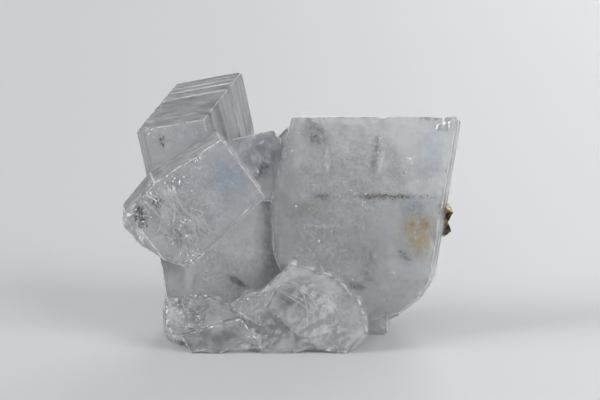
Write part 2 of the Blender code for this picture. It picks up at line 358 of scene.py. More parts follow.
# Natural barite, vitreous on its crystal faces and pearly on cleavage: a pale milky body that light
# goes through, with clouds, fine darker bands where growth layers meet a side face, and local tints.
# "growth" holds each crystal's own directions, so bands and tints follow that crystal.
def naturalBarite():
    look = bariteLook
    material, tree = newMaterial("naturalBariteVitreous")
    place = addNode(tree, "TexCoord").outputs["Object"]
    growth, broken, rim = [addNode(tree, "Attribute", {"attribute_name": name}).outputs[kind]
            for name, kind in (("growth", "Vector"), ("broken", "Fac"), ("rim", "Fac"))]
    bands = []
    for acrossMm, throughMm, detail in look["bands"]:
        scale = (1 / (acrossMm * mm), 1 / (acrossMm * mm), 1 / (throughMm * mm))
        stretched = addNode(tree, "Mapping", {"Scale": scale}, {"Vector": growth})
        bands.append(addNode(tree, "TexNoise", {"Scale": 1.0, "Detail": detail, "Roughness": 0.6},
                {"Vector": stretched}))
    clouds, striae, layers = bands
    patches = {}
    for name, sizeMm, low, high in look["patches"]:
        speckle = addNode(tree, "TexNoise", {"Scale": 1 / (sizeMm * mm), "Detail": 4.0}, {"Vector": place})
        patches[name] = addNode(tree, "MapRange", {"From Min": low, "From Max": high}, {"Value": speckle})
    grain = addNode(tree, "TexNoise", {"Scale": 1 / (look["grainMm"] * mm), "Detail": 4.0}, {"Vector": place})
    mottle = addNode(tree, "Mix", {0: 0.45}, {2: clouds, 3: striae})
    colour = addNode(tree, "ValToRGB", links={"Fac": mottle},
            stops=((0.36, look["shade"]), (0.58, look["pale"]))).outputs[0]
    banding = addNode(tree, "Mix", {0: 0.5}, {2: striae, 3: layers})
    striated = apart * crystals.index(look["striated"])
    tall = addNode(tree, "Mapping", {"vector_type": "TEXTURE", "Location": striated,
            "Scale": [look["striatedMm"] * mm] * 3}, {"Vector": growth})
    away = addNode(tree, "VectorMath", {"operation": "LENGTH"}, {0: tall})
    lined = addNode(tree, "MapRange", {"From Min": 0.95, "To Min": 0.75, "To Max": 0.10},
            {"Value": away.outputs["Value"]})
    dark = addNode(tree, "MapRange", {"From Min": 0.48, "From Max": 0.60},
            {"Value": banding, "To Max": lined})
    coats = [(look["stria"], dark)]
    for habit, rows in tintsAndPaintedLight:
        for at, size, turn, tint, strength, grainName, *deep in rows:
            middle = apart * crystals.index(habit) + Vector(at + (0.0,)) * mm
            sizes = [side * mm for side in size + tuple(deep or (tintDeep,))]
            spot = addNode(tree, "Mapping", {"vector_type": "TEXTURE", "Location": middle, "Scale": sizes,
                    "Rotation": (0, 0, math.radians(turn))}, {"Vector": growth})
            away = addNode(tree, "VectorMath", {"operation": "LENGTH"}, {0: spot})
            near = addNode(tree, "MapRange", {"interpolation_type": "SMOOTHSTEP", "From Min": 0.3,
                    "To Min": strength, "To Max": 0.0}, {"Value": away.outputs["Value"]})
            patchy = addNode(tree, "Math", {"operation": "MULTIPLY"}, {0: near, 1: patches[grainName]})
            coats.append((tint, patchy))
    # White on the worn rims: bruising, and a painted highlight for the bright edges.
    worn = addNode(tree, "MapRange", {"From Min": 0.35, "From Max": 0.6, "To Min": 0.35}, {"Value": grain})
    wearAndHighlight = addNode(tree, "Math", {"operation": "MULTIPLY"}, {0: rim, 1: worn})
    coats.append((look["edge"], wearAndHighlight))
    for tint, share in coats:    # each colour goes over the ones before it
        colour = addNode(tree, "Mix", {"data_type": "RGBA", 7: toLinear(tint)},
                {0: share, 6: colour}).outputs[2]
    frost = addNode(tree, "MapRange", {"From Min": 0.40, "From Max": 0.66, "To Min": look["polished"],
            "To Max": look["etched"]}, {"Value": mottle})
    rough = addNode(tree, "Mix", {3: look["broken"]}, {0: broken, 2: frost})
    fine = addNode(tree, "Bump", {"Strength": 0.20, "Distance": 0.03 * mm}, {"Height": grain})
    relief = addNode(tree, "Bump", {"Distance": 0.10 * mm},
            {"Height": striae, "Normal": fine, "Strength": lined})
    shader = addNode(tree, "BsdfPrincipled", {"Transmission Weight": look["transmission"], "IOR": look["ior"],
            "Subsurface Weight": look["glowShare"], "Subsurface Scale": look["glow"],
            "Subsurface Radius": (1.0, 1.0, 1.0)},
            {"Base Color": colour, "Roughness": rough, "Normal": relief})
    inside = addNode(tree, "VolumeAbsorption",
            {"Color": toLinear(look["absorbed"]), "Density": look["density"]})
    addNode(tree, "OutputMaterial", links={"Surface": shader, "Volume": inside})
    return material


# A finish from one speckle: its colour follows the grain, and so do the gloss and relief of a rough one.
def speckledFinish(name, look):
    material, tree = newMaterial(name)
    place = addNode(tree, "TexCoord").outputs["Object"]
    speckle = addNode(tree, "TexNoise", {"Scale": 1 / (look["grainMm"] * mm),
            "Detail": look["detail"]}, {"Vector": place})
    links = {"Base Color": addNode(tree, "ValToRGB", links={"Fac": speckle}, stops=look["colours"])}
    if "rough" in look:
        low, high, roughLow, roughHigh = look["rough"]
        links["Roughness"] = addNode(tree, "MapRange", {"From Min": low, "From Max": high, "To Min": roughLow,
                "To Max": roughHigh}, {"Value": speckle})
        links["Normal"] = addNode(tree, "Bump", {"Strength": look["bump"], "Distance": look["bumpMm"] * mm},
                {"Height": speckle})
    ends = {"Surface": addNode(tree, "BsdfPrincipled", look["shader"], links)}
    if "absorbed" in look:
        ends["Volume"] = addNode(tree, "VolumeAbsorption",
                {"Color": toLinear(look["absorbed"]), "Density": look["density"]})
    addNode(tree, "OutputMaterial", links=ends)
    return material


# Barite crushed along a worn edge: fine cracks scatter the light, so it is frosted, pale and dull.
# Its white is also a painted highlight for the bright rims.
bruiseAndHighlightLook = dict(
    grainMm=0.40, detail=4.0, colours=((0.38, "#D6DADD"), (0.56, "#FFFFFF")), rough=(0.35, 0.65, 0.2, 0.55),
    bump=0.5, bumpMm=0.06, shader={"IOR": bariteLook["ior"], "Transmission Weight": 0.40},
    absorbed=bariteLook["absorbed"], density=bariteLook["density"])


def growthLayers(habit):    # depths of the layers, with one small step inwards for each side face
    thickness, least, most = habit["layers"]
    layers, depth = [], 0.0
    while depth < habit["deep"]:
        steps = [rng.uniform(least, most) * rng.choice((0.15, 0.6, 1.0)) for side in habit["sides"]]
        nextDepth = depth + thickness * rng.uniform(0.5, 1.6)
        layers.append((depth, nextDepth, steps))
        depth = nextDepth
    return layers


def cutCrystal(bm, habit, number, layers):    # its planes, worn edges, and the lines of its layers and mesh
    shape = crystalShape
    edge = habit.get("edge", shape["edge"])
    rimLayer = bm.faces.layers.float.new("rim")
    crystalLayer = bm.faces.layers.int.new("crystal")
    bmesh.ops.create_cube(bm, size=stock)
    cutFace(bm, Vector(), Vector((0, 0, 1)))
    cutFace(bm, Vector((0, 0, -habit["deep"] * mm)), Vector((0, 0, -1)))
    for bearing, rise, reach in slopesOf(habit):
        cutFace(bm, direction(bearing, rise) * reach * mm, direction(bearing, rise))
    bmesh.ops.remove_doubles(bm, verts=bm.verts, dist=1e-6)
    worn = roundEdges(bm, edge)
    for face in worn["faces"]:
        face[rimLayer] = min(1.0, shape["edge"] / edge)
    for face in bm.faces:
        face[crystalLayer] = number
    lines = [(Vector((0, 0, -top * mm)), Vector((0, 0, 1))) for top, bottom, steps in layers[1:]]
    lines += [(direction(b) * r * mm, direction(b)) for b, r, drop in habit.get("ledges", ())]
    for point, normal in lines:    # a close pair of lines at each step
        for shift in (-1, 1):
            scoreLine(bm, point + normal * shift * shape["line"] * mm, normal)
    spacing = habit["grid"] * mm
    for axis in range(3):
        low, high = min(v.co[axis] for v in bm.verts), max(v.co[axis] for v in bm.verts)
        across = Vector([1.0 if other == axis else 0.0 for other in range(3)])
        for step in range(1, int((high - low) / spacing)):
            scoreLine(bm, across * (low + step * spacing), across)
    return [(Vector((0, 0, 1)), 0.0)] + [(direction(b, rise), r * mm) for b, rise, r in slopesOf(habit)]


def wearCrystal(bm, habit, layers, planes):    # steps, nicks, chipped edges and slightly wavy faces
    shape = crystalShape
    edge, chip, wave = [habit.get(name, shape[name]) for name in ("edge", "chip", "wave")]
    sides = [(direction(b), r * mm) for b, r in habit["sides"]]
    near = shape["nearSide"] * mm
    bm.normal_update()
    moves = []
    for vert in bm.verts:
        depth = -vert.co.z / mm
        move = Vector((0, 0, 0))
        steps = next((s for top, bottom, s in layers if top <= depth < bottom), None)
        if steps and depth > edge:
            for (normal, reach), step in zip(sides, steps):
                weight = max(0.0, 1.0 - abs(reach - normal.dot(vert.co)) / near)
                move -= normal * step * mm * weight
        if depth < edge:
            for bearing, reach, drop in habit.get("ledges", ()):
                if direction(bearing).dot(vert.co) > reach * mm:
                    move.z -= drop * mm
        for bearing, along, half, deepest in habit.get("nicks", ()):
            outward, sideways = direction(bearing), direction(bearing - 90)
            reach = next(r for b, r in habit["sides"] if b == bearing)
            close = max(0.0, 1.0 - (reach - outward.dot(vert.co) / mm) / shape["nickFade"])
            share = max(0.0, 1.0 - abs(sideways.dot(vert.co) / mm - along) / half)
            move -= outward * deepest * mm * min(1.0, share * shape["nickSharp"]) * close
        closeness = sorted(max(0.0, 1.0 - (reach - normal.dot(vert.co)) / (shape["corner"] * mm))
                for normal, reach in planes)
        spot = vert.co / mm + Vector((habit["turn"], habit["lean"], 3.0))
        if closeness[-2] > 0:
            crumbs = max(0.0, noise.noise(spot / shape["crumbMm"]))
            loss = max(0.0, noise.noise(spot / shape["chipMm"])) + 0.5 * crumbs
            move -= vert.normal * chip * shape["loss"] * loss * closeness[-2] * mm
        move -= vert.normal * (0.5 + 0.5 * noise.noise(spot / shape["waveMm"])) * wave * mm
        moves.append((vert, move))
    for vert, move in moves:
        vert.co += move


def buildCrystal(habit, number, finish):
    bm = bmesh.new()
    layers = growthLayers(habit)
    planes = cutCrystal(bm, habit, number, layers)
    wearCrystal(bm, habit, layers, planes)
    bmesh.ops.triangulate(bm, faces=bm.faces[:])
    bm.transform(standing(habit))
    bmesh.ops.recalc_face_normals(bm, faces=bm.faces)
    return addPiece("crystal%d" % number, bm, finish, smooth=False)


def combine(piece, operation, **operand):    # the result is the piece's own mesh
    change = piece.modifiers.new("combine", "BOOLEAN")
    change.operation = operation
    change.solver = "EXACT"
    for name, value in operand.items():
        setattr(change, name, value)
    graph = bpy.context.evaluated_depsgraph_get()
    mesh = bpy.data.meshes.new_from_object(piece.evaluated_get(graph))
    piece.modifiers.clear()
    piece.data = mesh


def joinSolids(name, parts):
    helpers = bpy.data.collections.new("helpers")
    scene.collection.children.link(helpers)
    for part in parts[1:]:
        scene.collection.objects.unlink(part)
        helpers.objects.link(part)
    body = parts[0]
    body.name = name
    combine(body, "UNION", operand_type="COLLECTION", collection=helpers)
    for part in parts[1:]:
        bpy.data.objects.remove(part)
    bpy.data.collections.remove(helpers)
    return body


def restFlat(piece):    # the same level base as the solid, at z = 0
    base = bmesh.new()
    bmesh.ops.create_cube(base, size=1.0)
    bmesh.ops.scale(base, vec=(stock, stock, 40 * mm), verts=base.verts)
    bmesh.ops.translate(base, vec=(0, 0, -20 * mm), verts=base.verts)
    helper = addPiece("baseCut", base, None, smooth=False)
    combine(piece, "DIFFERENCE", object=helper)
    bpy.data.objects.remove(helper)


# Broken places: crystal, middle on its broad face and radius in mm, how deep it breaks in, facet size.
brokenPlaces = (
    (frontBlock, (-15.2, -2.8), 5.5, 0.75, 1.10), (frontBlock, (-9.9, 0.9), 2.8, 0.60, 0.70),
    (frontBlock, (-5.5, 3.6), 2.8, 0.60, 0.65), (frontBlock, (-1.4, 8.2), 2.8, 0.60, 0.70),
    (frontBlock, (-4.0, -6.5), 5.5, 0.45, 1.10), (frontBlock, (-1.0, -11.5), 3.4, 0.50, 0.70),
    (tallBlock, (-13.4, -2.0), 3.0, 0.35, 0.65), (tallBlock, (-8.0, -0.6), 2.2, 0.25, 0.60),
    (footLeft, (-9.0, -2.9), 5.0, 0.45, 1.00), (footLeft, (-2.6, -1.2), 5.4, 0.40, 0.85),
    (footUnder, (6.0, -0.4), 5.0, 0.40, 1.10), (footUnder, (-3.0, 0.0), 4.6, 0.30, 0.90),
    (footMiddle, (1.5, 0.6), 4.6, 0.35, 0.90), (lowerFront, (2.0, -6.0), 6.5, 0.30, 1.30),
    (lowerFront, (-2.0, 2.0), 6.0, 0.16, 1.60), (cornerCrystal, (-0.4, 0.6), 3.6, 0.22, 0.55),
    (middleCrystal, (1.5, -1.2), 3.6, 0.14, 0.60), (greyPlate, (-6.0, -2.2), 2.4, 0.25, 0.55),
    (heelStep, (-0.4, 1.9), 3.6, 0.40, 0.90), (bigPlate, (-14.0, -12.8), 1.2, 0.45, 0.60),
    (bigPlate, (15.2, 15.8), 1.9, 0.45, 0.55))
# Longest mesh edge in mm, how far that goes past the rim, how fast a break deepens, spread of its facets.
breakLook = dict(fineEdge=0.45, around=0.1, rise=2.2, tilt=3.7)


def breakPlaces(piece):
    bm = bmesh.new()
    bm.from_mesh(piece.data)
    spots = [(inCrystal(habit, *at), radius * mm, depth * mm, facet * mm)
            for habit, at, radius, depth, facet in brokenPlaces]

    def closest(place):    # how broken it is there, and by which place
        return max((1 - (place - spot[0]).length / spot[1], number) for number, spot in enumerate(spots))

    for passNumber in range(2):
        inside = {vert for vert in bm.verts if closest(vert.co)[0] > -breakLook["around"]}
        coarse = [e for e in bm.edges if e.calc_length() > breakLook["fineEdge"] * mm
                and (e.verts[0] in inside or e.verts[1] in inside)]
        bmesh.ops.subdivide_edges(bm, edges=coarse, cuts=1, use_grid_fill=False)
        bmesh.ops.triangulate(bm, faces=[f for f in bm.faces if len(f.verts) > 3])
    bm.normal_update()
    broken = bm.verts.layers.float.new("broken")
    low, high = Vector(cadBox[0]), Vector(cadBox[1])
    for vert in bm.verts:
        amount, number = closest(vert.co)
        if amount > 0:
            middle, radius, depth, facet = spots[number]
            cell = noise.voronoi(vert.co / facet)[1][0]
            tilt = noise.noise_vector(cell * breakLook["tilt"])
            height = min(1.0, max(0.0, 0.5 + tilt.dot(vert.co / facet - cell)))
            fade = soften(amount * breakLook["rise"])
            vert[broken] = fade
            if vert.co.z > groundGap * mm:
                vert.co -= vert.normal * depth * height * fade
    raiseHem(bm)
    for vert in bm.verts:
        vert.co = [min(high[axis], max(low[axis], vert.co[axis])) for axis in range(3)]
    bm.to_mesh(piece.data)
    bm.free()


# The front of the base is uneven: each arch's middle, half its width, and how high it is, in mm.
arches = ((-26.5, 3.8, 3.0), (-10.4, 4.6, 1.8), (3.8, 5.0, 0.8), (15.0, 4.6, 2.2), (-17.6, 2.4, 0.3))
archDepth = dict(frontY=-7.0, fullY=-15.0, soft=4.5, crumbs=0.35, crumbMm=1.1)    # fading back to frontY


def raiseHem(bm):
    deep = archDepth
    for vert in bm.verts:
        x, y, z = vert.co / mm
        front = soften((deep["frontY"] - y) / (deep["frontY"] - deep["fullY"]))
        if z < deep["soft"] and front:
            lift = sum(height * (1 - ((x - middle) / half) ** 2) ** 2 for middle, half, height in arches
                    if abs(x - middle) < half)
            lift += deep["crumbs"] * max(0.0, noise.noise(Vector((x, y, 7.0)) / deep["crumbMm"]))
            vert.co.z += lift * front * (1 - z / deep["soft"]) ** 1.5 * mm


def noteGrowth(piece):    # each corner's place in its own crystal, which the bands and tints follow
    mesh = piece.data
    growth = mesh.attributes.new("growth", "FLOAT_VECTOR", "CORNER")
    owners = mesh.attributes["crystal"].data
    frames = [standing(habit).inverted() for habit in crystals]
    values = [0.0] * (3 * len(mesh.loops))
    for face in mesh.polygons:
        owner = owners[face.index].value
        for corner in face.loop_indices:
            spot = frames[owner] @ mesh.vertices[mesh.loops[corner].vertex_index].co + apart * owner
            values[3 * corner:3 * corner + 3] = spot
    growth.data.foreach_set("vector", values)


# Sizes of the patches, least rim, and how much a crystal's own share counts.
bruiseAndHighlightPatch = dict(wideMm=1.5, fineMm=0.4, rim=0.3, spread=1.4)


# The white is bruising and also a painted highlight along the rims.
def markBruisesAndHighlights(piece, finish):    # the worn edges turn white here and there
    mesh, patches = piece.data, bruiseAndHighlightPatch
    mesh.materials.append(finish)
    rims, owners = mesh.attributes["rim"].data, mesh.attributes["crystal"].data
    shares = [habit.get("bruised", crystalShape["bruised"]) for habit in crystals]
    for face in mesh.polygons:
        patch = noise.noise(face.center / (patches["wideMm"] * mm))
        patch += 0.5 * noise.noise(face.center / (patches["fineMm"] * mm))
        share = shares[owners[face.index].value] - 0.5
        if rims[face.index].value > patches["rim"] and patch + share * patches["spread"] > 0:
            face.material_index = 1


bariteFinish = naturalBarite()
parts = [buildCrystal(habit, number, bariteFinish) for number, habit in enumerate(crystals)]
print("crystals built:", len(parts), "with", sum(len(p.data.polygons) for p in parts), "faces")
cluster = joinSolids("bariteCrystals", parts)
restFlat(cluster)
breakPlaces(cluster)
noteGrowth(cluster)
markBruisesAndHighlights(cluster, speckledFinish("bruisedEdgeWhiteAndHighlight", bruiseAndHighlightLook))
cluster.data.shade_smooth()
cluster.data.set_sharp_from_angle(angle=math.radians(crystalShape["sharp"]))
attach(cluster, "root")
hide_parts("barite_cluster")
print("crystals joined:", len(cluster.data.polygons), "faces")


# What is sealed in the barite. Places are on a crystal's broad face, in mm, and depth is below it.
# low, high: the noise where a veil starts and where it is as dense as most, its greatest cover.
def veilFinish(name, colourHex, stretch, low, high, most, rough=0.5):
    material, tree = newMaterial(name)
    sheet = addNode(tree, "Attribute", {"attribute_name": "sheet"}).outputs["Vector"]
    fade = addNode(tree, "Attribute", {"attribute_name": "fade"}).outputs["Fac"]
    scaled = addNode(tree, "Mapping", {"Scale": [1 / side for side in stretch]}, {"Vector": sheet})
    wisps = addNode(tree, "TexNoise", {"Scale": 1.0, "Detail": 5.0, "Roughness": 0.62,
            "Distortion": 0.25}, {"Vector": scaled})
    cover = addNode(tree, "MapRange", {"From Min": low, "From Max": high, "To Max": most}, {"Value": wisps})
    alpha = addNode(tree, "Math", {"operation": "MULTIPLY"}, {0: cover, 1: fade})
    shader = addNode(tree, "BsdfPrincipled",
            {"Base Color": toLinear(colourHex), "Roughness": rough}, {"Alpha": alpha})
    addNode(tree, "OutputMaterial", links={"Surface": shader})
    return material


def veil(habit, at, size, depth, **more):    # more: turn and lean in degrees, warp in mm, full to its rim
    return habit, dict(at=at, size=size, depth=depth, **more)


# A veil's cells, how it fades where it breaks out, at its rim and above the ground, and its waves.
veilMesh = dict(cellMm=1.1, least=8, most=36, hem=0.6, skin=0.12, rim=0.65, clear=0.3, ground=0.8, waveMm=2.2)


def layVeil(bm, habit, veil):    # a gently warped sheet that fades out at its rim and inside its crystal
    sheet = bm.verts.layers.float_vector["sheet"]
    fade = bm.verts.layers.float["fade"]
    width, height = veil["size"]
    look = veilMesh
    cells = [int(min(look["most"], max(look["least"], side / look["cellMm"]))) for side in veil["size"]]
    made = bmesh.ops.create_grid(bm, x_segments=cells[0], y_segments=cells[1], size=1.0)["verts"]
    place = Matrix.Translation(Vector(veil["at"] + (-veil["depth"],)))
    place = place @ leaned(veil.get("lean", 0), veil.get("turn", 0))
    own = Vector(veil["at"] + (veil["depth"],))    # gives each veil its own ripples and wisps
    for vert in made:
        u, v = vert.co.x, vert.co.y
        spot = Vector((u * width / 2, v * height / 2, 0.0))
        spot.z = noise.noise(spot / look["waveMm"] + own) * veil.get("warp", 0.4)
        vert[sheet] = spot + own * 3.0
        local = place @ spot
        middle = 1.0 if veil.get("full") else soften((1 - math.hypot(u, v)) / look["rim"])
        inner = soften(roomInside(habit, local) / look["hem"])
        spot = standing(habit) @ (local * mm)
        above = soften((spot.z / mm - look["clear"]) / look["ground"])
        vert[fade] = middle * inner * above * (1.0 if local.z < -look["skin"] else 0.0)
        vert.co = (spot.x, spot.y, max(spot.z, groundGap * mm))


def sealPiece(name, bm, finish, smooth=True):
    piece = addPiece(name, bm, finish, smooth)
    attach(piece, "root")
    return piece


def sealFaded(name, bm, finish):    # without the faces that have faded out
    fade = bm.verts.layers.float["fade"]
    clear = [face for face in bm.faces if all(vert[fade] <= 0 for vert in face.verts)]
    bmesh.ops.delete(bm, geom=clear, context="FACES")
    sealPiece(name, bm, finish)


def sealVeils(name, finish, veils):
    bm = bmesh.new()
    bm.verts.layers.float_vector.new("sheet")
    bm.verts.layers.float.new("fade")
    for habit, veil in veils:
        layVeil(bm, habit, veil)
    sealFaded(name, bm, finish)


# Milk: bubbles of fluid too small to see, which close the body to a clear view through it.
sealVeils("milkySheets", veilFinish("bubbleMilkWhite", "#F2F4F6", (5.0, 5.0, 5.0), 0.1, 0.6, 0.78), tuple(
    veil(*row, warp=0.5, full=True) for row in (
        (bigPlate, (-2, -3), (46, 46), 2.4), (bigPlate, (-2, -3), (46, 46), 6.4),
        (frontBlock, (-1, 0), (34, 34), 2.6), (frontBlock, (-1, 0), (34, 34), 5.4),
        (tallBlock, (-8, -7), (20, 20), 3.2), (tallBlock, (-8, -7), (20, 20), 8),
        (tallBlock, (-8, -7), (20, 20), 13),
        (greyPlate, (-2, -2), (38, 32), 1.8), (middleCrystal, (-2, -2), (20, 22), 1.8),
        (smallTip, (-1, -5), (8, 16), 1.5), (lowerFront, (0, 0), (24, 24), 1.8),
        (lowerFront, (0, 0), (24, 24), 6), (cornerCrystal, (-0.5, 0.5), (10, 10), 1.4),
        (footLeft, (0, -1.5), (22, 12), 1.5), (footUnder, (0, 0), (22, 9), 1.5),
        (footMiddle, (2, 1), (20, 14), 1.5), (heelRight, (-6, 1), (20, 14), 1.6),
        (heelStep, (-1, 0), (8, 8), 1.4), (backPlate, (0, 0), (34, 34), 2.2),
        (backLeft, (0, 0), (30, 32), 2.2), (backLow, (0, 0), (22, 20), 1.8),
        (backWedge, (0, 0), (18, 18), 1.6))))
# Healed fractures full of tiny fluid bubbles: soft white veils that blur what lies behind them; one is
# painted light.
sealVeils("milkyVeils", veilFinish("healedFractureMilkyAndPaintedLight", "#F2F5F8", (2.2, 2.2, 2.2), 0.42, 0.62, 0.75), (
    veil(bigPlate, (-3, 4), (30, 26), 1.6, warp=0.7),
    veil(bigPlate, (2, -6), (34, 34), 4.4, warp=0.7),
    # Painted light: a pale sheet just under the face, which lifts the shade where this plate meets the big
    # plate.
    veil(greyPlate, (9.5, 2), (9, 26), 0.5, warp=0.2),
    veil(greyPlate, (0, -1), (22, 22), 0.9, warp=0.4),
    veil(bigPlate, (-8, -10), (20, 22), 1, warp=0.4),
    veil(bigPlate, (8, 8), (22, 22), 3.4, warp=0.5),
    veil(bigPlate, (-6, 2), (20, 24), 4, lean=24, turn=70, warp=0.5),
    veil(frontBlock, (-3, 0), (26, 24), 1.6, warp=0.8),
    veil(frontBlock, (2, -2), (18, 18), 3.6, lean=30, turn=35, warp=0.6),
    veil(frontBlock, (-6, -4), (14, 12), 2.4, lean=-28, turn=-30, warp=0.6),
    veil(lowerFront, (3, -1), (15, 14), 1.2, warp=0.7),
    veil(lowerFront, (-3, 3), (14, 12), 3, lean=26, turn=-40, warp=0.5),
    veil(tallBlock, (-8, -5), (16, 16), 5, warp=0.8),
    veil(middleCrystal, (0, 0), (12, 14), 1.2, lean=20, turn=40, warp=0.6)))
# Open hairline cleavages: brighter and narrower than the veils.
sealVeils("paleStreaks", veilFinish("openCleavageWhite", "#FFFFFF", (0.8, 2.6, 1.0), 0.30, 0.55, 0.95), (
    veil(bigPlate, (-8, 7.5), (2, 7.5), 0.5),
    veil(bigPlate, (-9.6, 6.6), (1.2, 4.5), 0.8),
    veil(bigPlate, (3, 7.4), (1, 5), 0.4, turn=-16),
    veil(bigPlate, (-8.6, -13.9), (0.9, 4), 0.6, turn=28),
    veil(bigPlate, (-9.5, -5.6), (14, 0.8), 0.7, turn=-6),
    veil(lowerFront, (-4.4, 6.5), (5, 1), 0.6, turn=-18),
    veil(lowerFront, (1, 2.7), (9.5, 1.4), 0.7, turn=-43),
    veil(lowerFront, (3, 2), (7.5, 3.2), 0.9, turn=-35),
    veil(lowerFront, (0, -3.4), (9, 2.2), 0.8, turn=8)))
# Painted shade: dark sheets in the clearer zones, where the eye looks into the dark of the stone.
sealVeils("darkShadows", veilFinish("clearZonePaintedShade", "#4A474E", (0.7, 2.0, 1.0), 0.38, 0.68, 0.60), (
    veil(bigPlate, (-10.6, 13.4), (7.4, 6), 0.9, turn=-35),
    veil(bigPlate, (1.8, 9.6), (2.2, 10.5), 0.6, turn=-6),
    veil(bigPlate, (-0.9, -17.4), (5, 2.2), 0.6),
    veil(bigPlate, (8.4, -11), (4.4, 2), 0.8, turn=-40),
    veil(lowerFront, (-4.7, 3.2), (5.4, 5.2), 1.4, turn=20),
    veil(middleCrystal, (0.8, -1.2), (4, 9.5), 0.9, turn=-35),
    veil(greyPlate, (1.2, -5.1), (8, 1.9), 0.6, turn=-31),
    veil(footLeft, (-5.2, 0.3), (4.6, 2.6), 0.7, turn=-10)))
# Thin films in a cleavage, which colour the light by interference: gold with orange spots, and blue.
sealVeils("goldenFilm", veilFinish("cleavageFilmGold", "#D8C36C", (1.3, 1.3, 1.0), 0.34, 0.60, 0.70, 0.3), (
    veil(bigPlate, (10.9, -5.4), (8.5, 10.5), 0.45, warp=0.12),
    veil(bigPlate, (11.6, -8.6), (6, 8.5), 0.60, warp=0.12)))
sealVeils("orangeSpots", veilFinish("cleavageFilmOrange", "#CCA04C", (0.9, 0.9, 1.0), 0.25, 0.6, 0.75, 0.3), (
    veil(bigPlate, (9.9, -4.4), (2, 2.2), 0.35, warp=0.05),
    veil(bigPlate, (12.2, -4.3), (2.2, 2.4), 0.35, warp=0.05)))
sealVeils("blueFilm", veilFinish("cleavageFilmBlue", "#A6BCD4", (2.0, 2.0, 1.0), 0.34, 0.66, 0.5, 0.3), (
    veil(bigPlate, (10.5, -1.6), (8, 5), 0.6, warp=0.15),
    veil(bigPlate, (13.6, 10.6), (6, 10), 0.6, warp=0.15),
    veil(frontBlock, (5.8, 3.8), (9, 10), 0.9, warp=0.3)))
print("veils sealed in")

# Curved fibres of the fractures: crystal, start, end, spread, how far they bow sideways, in mm, and count.
fibreBundles = (
    (frontBlock, (-4.5, -3.5), (-1, -12), 3.8, 1.8, 44),
    (frontBlock, (-9, 0.5), (-5, -8.5), 3, 1.2, 26),
    (frontBlock, (-6, 3), (-4, -2.5), 2.6, -0.8, 16),
    (frontBlock, (-3, -2), (4, -7), 3.4, -1, 16),
    (lowerFront, (-6, 6), (6, -5), 6, 1.4, 5),
    (middleCrystal, (-3, 3), (2, -5), 2.6, 0.5, 4),
    (greyPlate, (2, -1.2), (3.4, -5), 1.4, 0.3, 9))
fibreMm = dict(width=(0.12, 0.45), depth=(0.15, 0.8), wobble=0.18)


def sealFibres(name, bundles, finish):
    bm = bmesh.new()
    sheet = bm.verts.layers.float_vector.new("sheet")
    fade = bm.verts.layers.float.new("fade")
    for habit, at, to, spread, mostBow, count in bundles:
        for number in range(count):
            start = Vector(at) + Vector((rng.gauss(0, 0.5), rng.gauss(0, 0.3))) * spread
            end = Vector(to) + Vector((rng.gauss(0, 0.5), rng.gauss(0, 0.3))) * spread
            end = start + (end - start) * rng.uniform(0.35, 1.0)
            bow, width = mostBow * rng.uniform(0.2, 1.3), rng.uniform(*fibreMm["width"])
            depth = rng.uniform(*fibreMm["depth"])
            along = (end - start)
            sideways = Vector((-along.y, along.x)).normalized()
            made = bmesh.ops.create_grid(bm, x_segments=14, y_segments=2, size=1.0)["verts"]
            for vert in made:
                u, v = (vert.co.x + 1) / 2, vert.co.y
                wobble = fibreMm["wobble"] * noise.noise(Vector((u * 5, number, bow)))
                flat = start + along * u + sideways * (bow * math.sin(math.pi * u) + wobble + v * width / 2)
                inner = soften(roomInside(habit, flat.to_3d()) / veilMesh["hem"])
                vert[sheet] = Vector((v, u * 6.0, number * 2.3))
                vert[fade] = inner * math.sin(math.pi * min(1.0, max(0.0, u))) ** 0.6
                vert.co = inCrystal(habit, flat.x, flat.y, depth + 0.3 * u)
                vert.co.z = max(vert.co.z, groundGap * mm)
    sealFaded(name, bm, finish)


# Fibrous fractures: thin white threads of air that bend with the break.
sealFibres("fractureFibres", fibreBundles,
        veilFinish("fibrousFractureWhite", "#FFFFFF", (2.0, 1.4, 1.0), 0.15, 0.45, 1.0))
print("fibres sealed in")


# A group of small grains or flakes: its crystal, middle, spread, least and most size in mm, and count.
# more: depth, how tall a grain is to its width, and how far it turns, in radians.
def chips(habit, at, spread, size, count, **more):
    return dict(habit=habit, at=at, spread=spread, size=size, count=count, **more)


chipShape = dict(depth=(-0.03, 0.15), turns=(3.1, 3.1, 3.1), clear=0.6, roughMm=0.2, rough=0.03)


def scatterChips(name, groups, finish, flatness):
    bm = bmesh.new()
    for group in groups:
        for number in range(group["count"]):
            x = group["at"][0] + rng.gauss(0, 0.5) * group["spread"][0]
            y = group["at"][1] + rng.gauss(0, 0.5) * group["spread"][1]
            size = rng.uniform(*group["size"]) * mm
            spin = spun([rng.uniform(-1, 1) * reach for reach in group.get("turns", chipShape["turns"])])
            shape = Matrix.Diagonal((size, size * group.get("tall", 1.0), size * flatness, 1.0))
            frameOf = standing(group["habit"]).to_3x3().to_4x4()
            depth = rng.uniform(*group.get("depth", chipShape["depth"]))
            middle = inCrystal(group["habit"], x, y, depth)
            room = roomInside(group["habit"], Vector((x, y, -depth)))
            if room < group["size"][1] / 2 or middle.z < chipShape["clear"] * mm:
                continue
            place = Matrix.Translation(middle)
            bmesh.ops.create_icosphere(bm, subdivisions=1, radius=0.5, matrix=place @ frameOf @ spin @ shape)
    for vert in bm.verts:
        vert.co += noise.noise_vector(vert.co / (chipShape["roughMm"] * mm)) * chipShape["rough"] * mm
    sealPiece(name, bm, finish, smooth=False)


def grainLook(grainMm, dull, bright, rough):
    return dict(grainMm=grainMm, detail=2.0, colours=((0.40, dull), (0.62, bright)),
            shader={"Roughness": rough})


